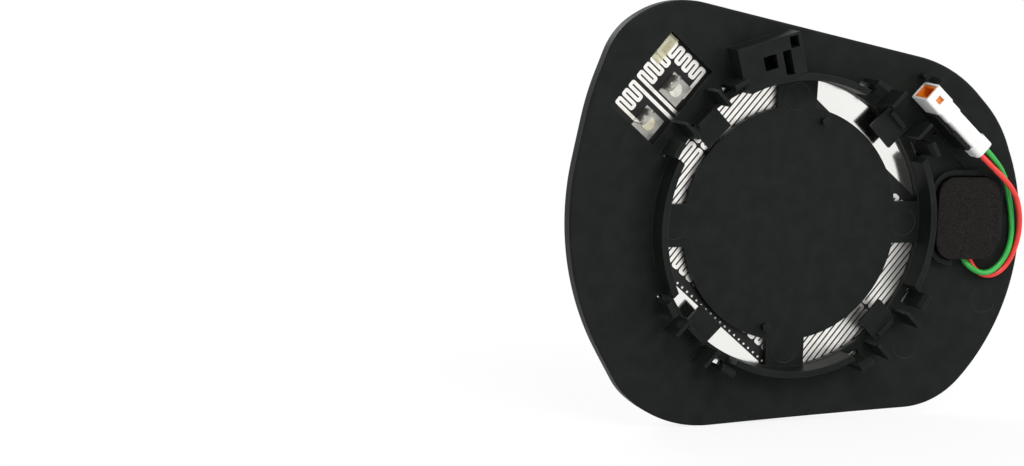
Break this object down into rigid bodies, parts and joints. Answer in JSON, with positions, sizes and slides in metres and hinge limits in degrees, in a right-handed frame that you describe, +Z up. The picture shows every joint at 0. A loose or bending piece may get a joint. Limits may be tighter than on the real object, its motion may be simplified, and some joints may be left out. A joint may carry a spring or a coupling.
{
  "type": "car door mirror glass",
  "caption": "Convex heated car door mirror glass in a black back plate with a clip ring, heater terminals, blind-spot lamp and wired connector.",
  "frame": {"origin": "on the axis of the clip ring, at the rear face of the seat disc", "axes": "+Y out of the back plate towards the actuator, -Y the way the glass looks, +Z up as on the car, +X to the right seen from the glass side"},
  "size_m": [0.1854, 0.0197, 0.1551],
  "materials": {
    "black_plastic": "satin moulded",
    "silvered_glass": "polished, silvered",
    "heater_film": "smooth film",
    "heater_foil": "etched foil",
    "tinned_brass": "tinned",
    "rivet_metal": "pressed",
    "lamp_plastic": "moulded",
    "circuit_board": "lacquered",
    "lamp_diode": "moulded",
    "resistor_body": "coated",
    "lamp_diffuser": "frosted",
    "black_foam": "open-cell foam",
    "green_wire": "extruded sleeve",
    "red_wire": "extruded sleeve",
    "white_nylon": "moulded",
    "orange_nylon": "moulded",
    "seal_rubber": "moulded"
  },
  "bodies": {
    "root": {"back_plate": "black_plastic", "mirror_glass": "silvered_glass", "heater_film": "heater_film", "heater_track": "heater_foil", "terminal_lower": "tinned_brass", "terminal_upper": "tinned_brass", "rivet_lower": "rivet_metal", "rivet_upper": "rivet_metal", "lamp_housing": "lamp_plastic", "lamp_board": "circuit_board", "lamp_diode_left": "lamp_diode", "lamp_diode_right": "lamp_diode", "lamp_resistor": "resistor_body", "lamp_diffuser": "lamp_diffuser", "foam_pad": "black_foam", "wire_green": "green_wire", "wire_red": "red_wire", "connector_housing": "white_nylon", "connector_retainer": "orange_nylon", "pin_green": "tinned_brass", "pin_red": "tinned_brass", "seal_green": "seal_rubber", "seal_red": "seal_rubber"}
  },
  "joints": []
}
